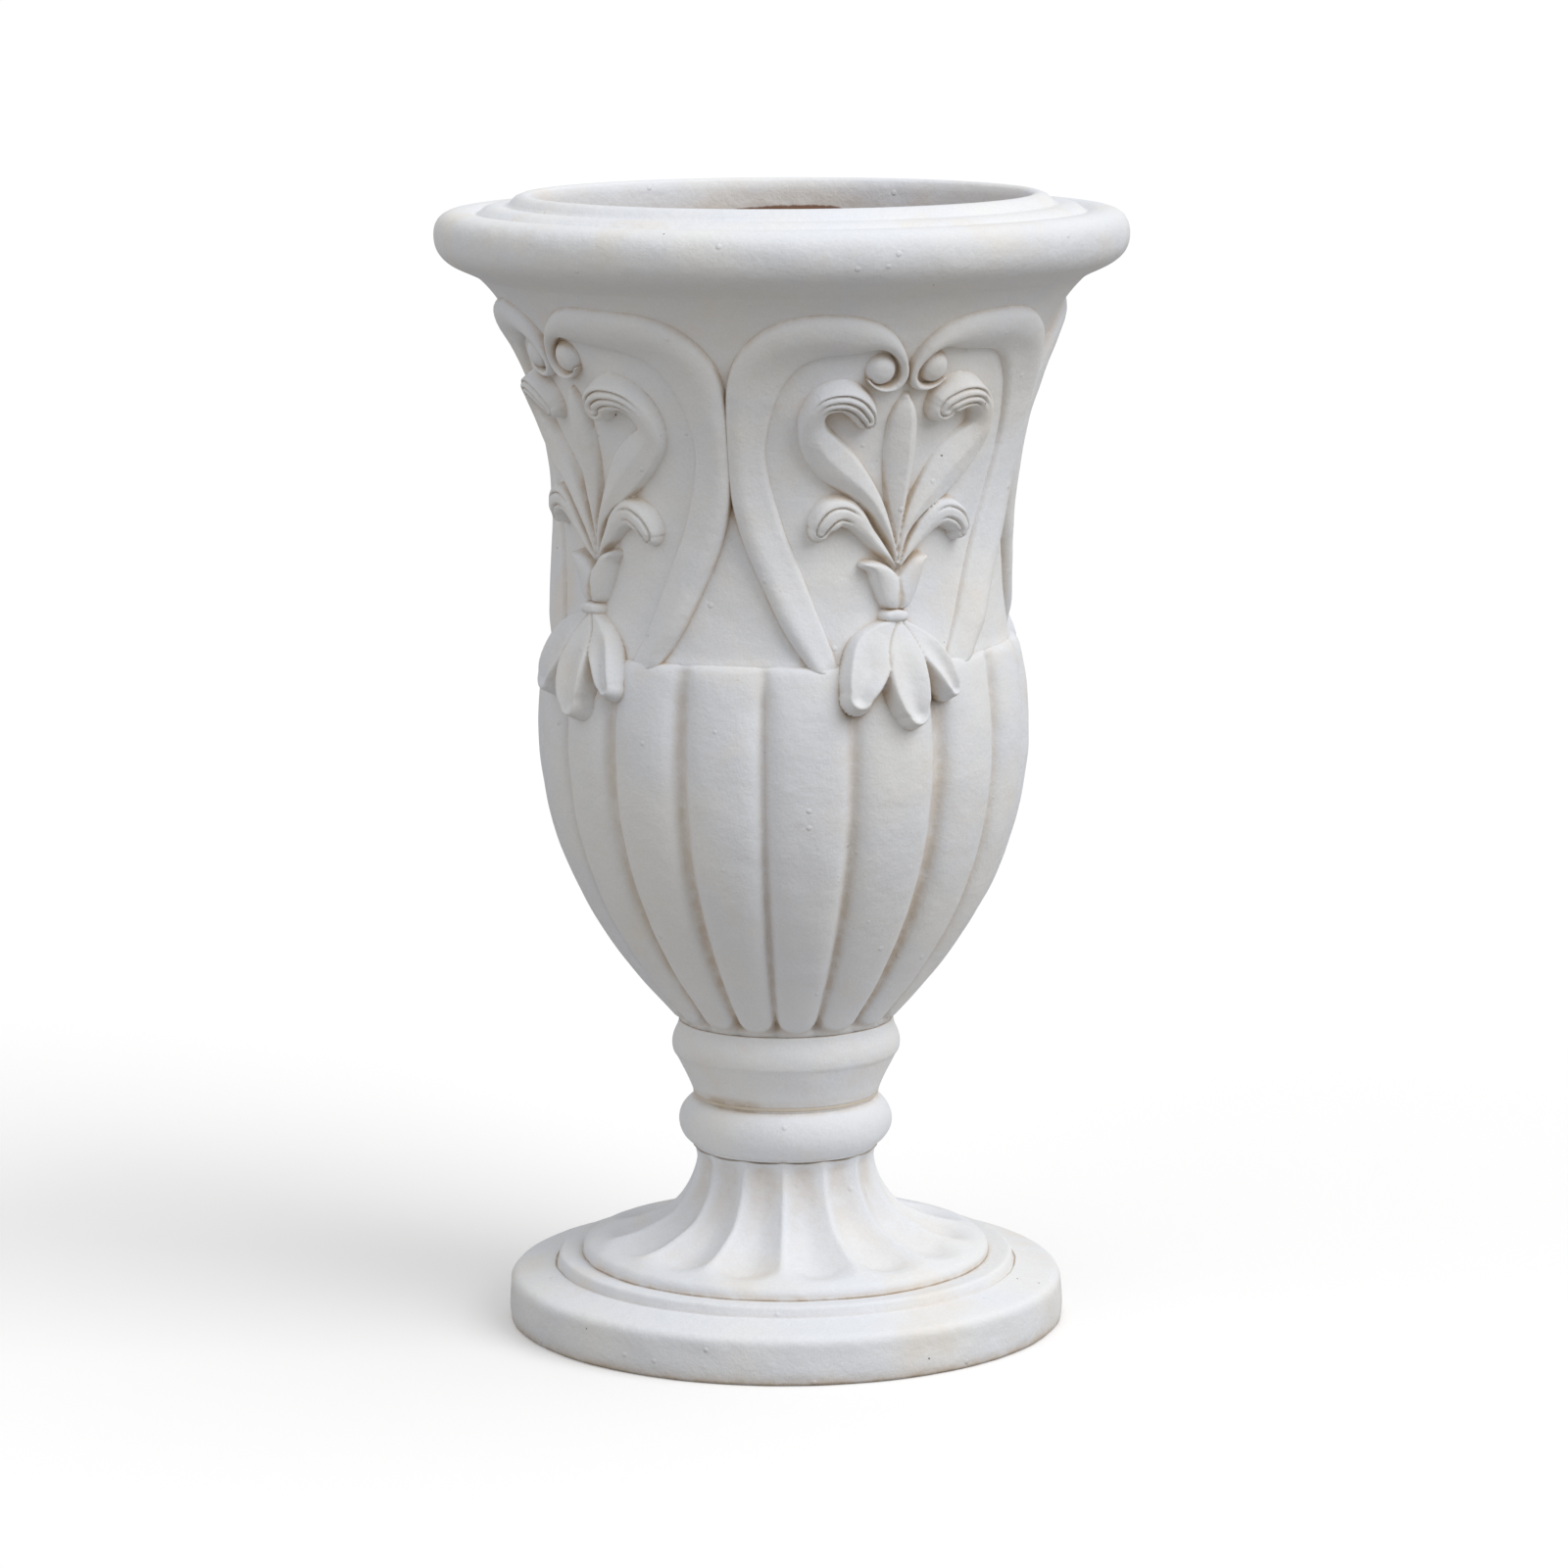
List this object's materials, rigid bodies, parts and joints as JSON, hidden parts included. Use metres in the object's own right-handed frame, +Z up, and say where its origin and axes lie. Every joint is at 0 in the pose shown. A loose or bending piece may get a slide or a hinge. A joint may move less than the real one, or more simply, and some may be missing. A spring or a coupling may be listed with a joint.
{
  "type": "urn planter",
  "caption": "Classical pedestal urn planter: stepped plinth, fluted foot, gadrooned bowl and flaring neck with scroll and palmette relief under a rolled rim, open at the top for planting.",
  "frame": {"origin": "centre of the flat underside of the plinth, at ground level", "axes": "+Z up along the urn's axis, -Y towards the first palmette (the ornament just right of centre in the picture)"},
  "size_m": [0.424, 0.424, 0.7],
  "materials": {
    "limewash": "matte off-white lime wash on terracotta, ochre in the hollows",
    "limewashed_relief": "matte off-white lime wash on pressed relief",
    "lime_mortar": "rough ochre lime mortar"
  },
  "bodies": {
    "root": {"plinth": "limewash", "fluted_foot": "limewash", "knop_ring": "limewash", "joint_bed": "lime_mortar", "collar": "limewash", "bowl": "limewash", "neck": "limewash", "rim": "limewash", "scroll_left_1": "limewashed_relief", "scroll_right_1": "limewashed_relief", "berry_left_1": "limewashed_relief", "berry_right_1": "limewashed_relief", "palmette_1": "limewashed_relief", "tie_bead_1": "limewashed_relief", "tassel_1": "limewashed_relief", "scroll_left_2": "limewashed_relief", "scroll_right_2": "limewashed_relief", "berry_left_2": "limewashed_relief", "berry_right_2": "limewashed_relief", "palmette_2": "limewashed_relief", "tie_bead_2": "limewashed_relief", "tassel_2": "limewashed_relief", "scroll_left_3": "limewashed_relief", "scroll_right_3": "limewashed_relief", "berry_left_3": "limewashed_relief", "berry_right_3": "limewashed_relief", "palmette_3": "limewashed_relief", "tie_bead_3": "limewashed_relief", "tassel_3": "limewashed_relief", "scroll_left_4": "limewashed_relief", "scroll_right_4": "limewashed_relief", "berry_left_4": "limewashed_relief", "berry_right_4": "limewashed_relief", "palmette_4": "limewashed_relief", "tie_bead_4": "limewashed_relief", "tassel_4": "limewashed_relief"}
  },
  "joints": []
}
